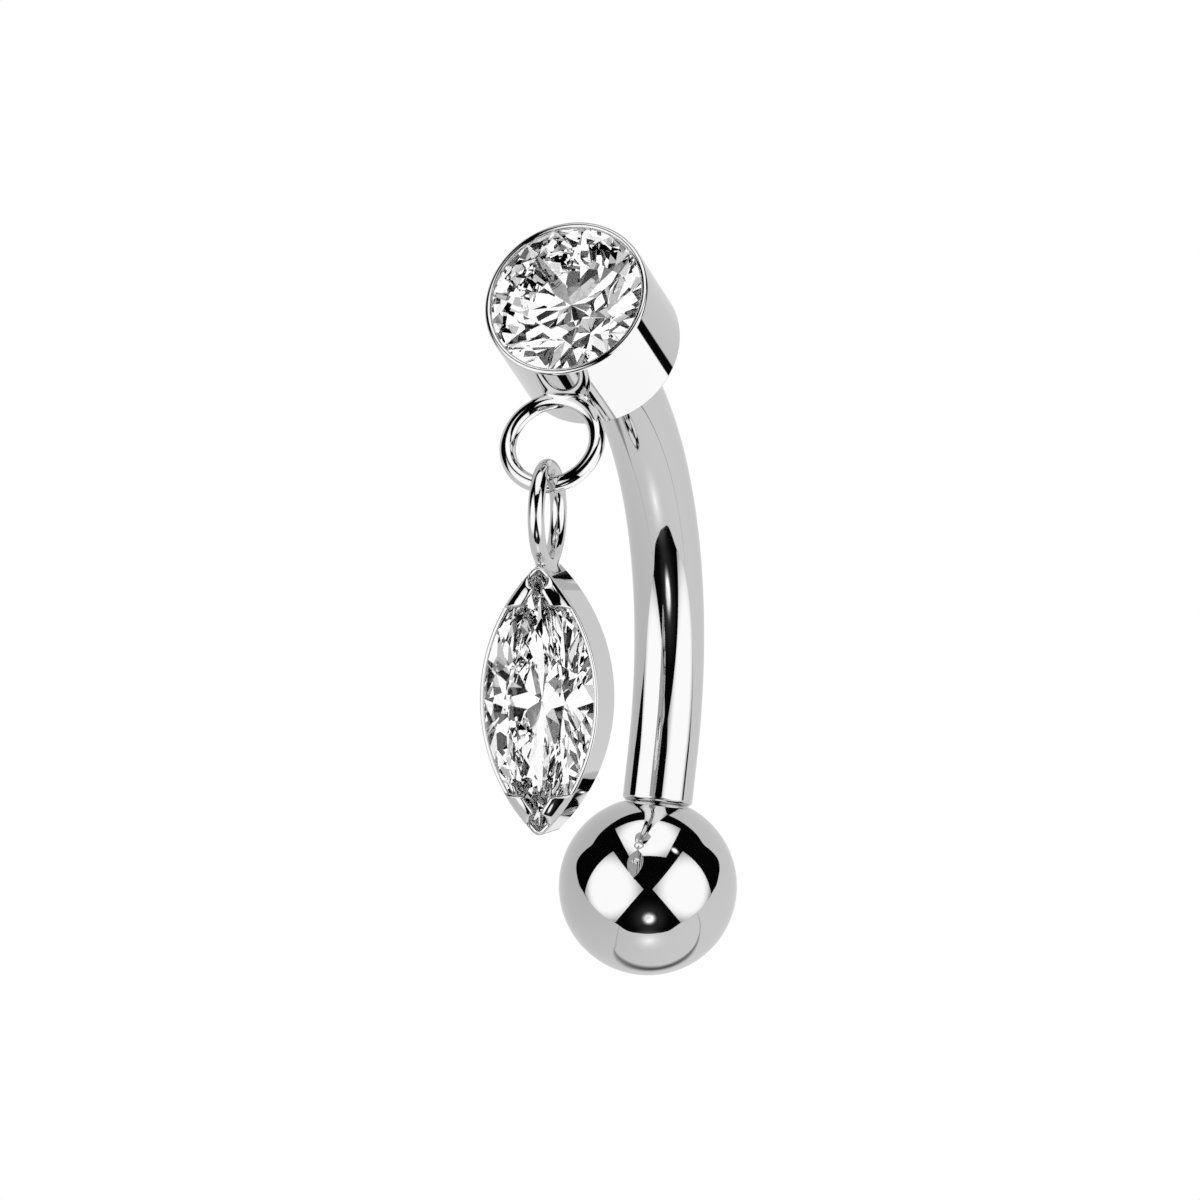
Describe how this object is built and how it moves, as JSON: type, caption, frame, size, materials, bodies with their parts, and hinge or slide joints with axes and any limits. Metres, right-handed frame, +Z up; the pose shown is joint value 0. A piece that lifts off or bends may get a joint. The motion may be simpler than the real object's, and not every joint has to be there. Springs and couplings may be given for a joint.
{
  "type": "curved barbell",
  "caption": "Bent bar for a piercing, with a round stone in a cup on its upper end, a plain ball on its lower end and a marquise stone drop that hangs from a ring on the cup.",
  "frame": {"origin": "middle of the bar's centre line, where it passes through the piercing", "axes": "+Z up, the way the drop hangs; -Y to the front, which the cup and the drop face; +X to the right seen from the front"},
  "size_m": [0.0036, 0.0085, 0.0132],
  "materials": {
    "polished_steel": "mirror-polished surgical steel",
    "clear_stone": "clear faceted cubic zirconia"
  },
  "bodies": {
    "barbell": {"bar": "polished_steel", "ball": "polished_steel", "top_cup": "polished_steel", "round_stone": "clear_stone"},
    "drop": {"drop_setting": "polished_steel", "marquise_stone": "clear_stone"}
  },
  "joints": [
    {"name": "drop_swing", "type": "hinge", "parent": "barbell", "child": "drop", "pos_m": [0.00016, -0.00582, 0.00112], "axis": [0.9907, 0.1357, 0], "range_deg": [-90, 60]}
  ]
}
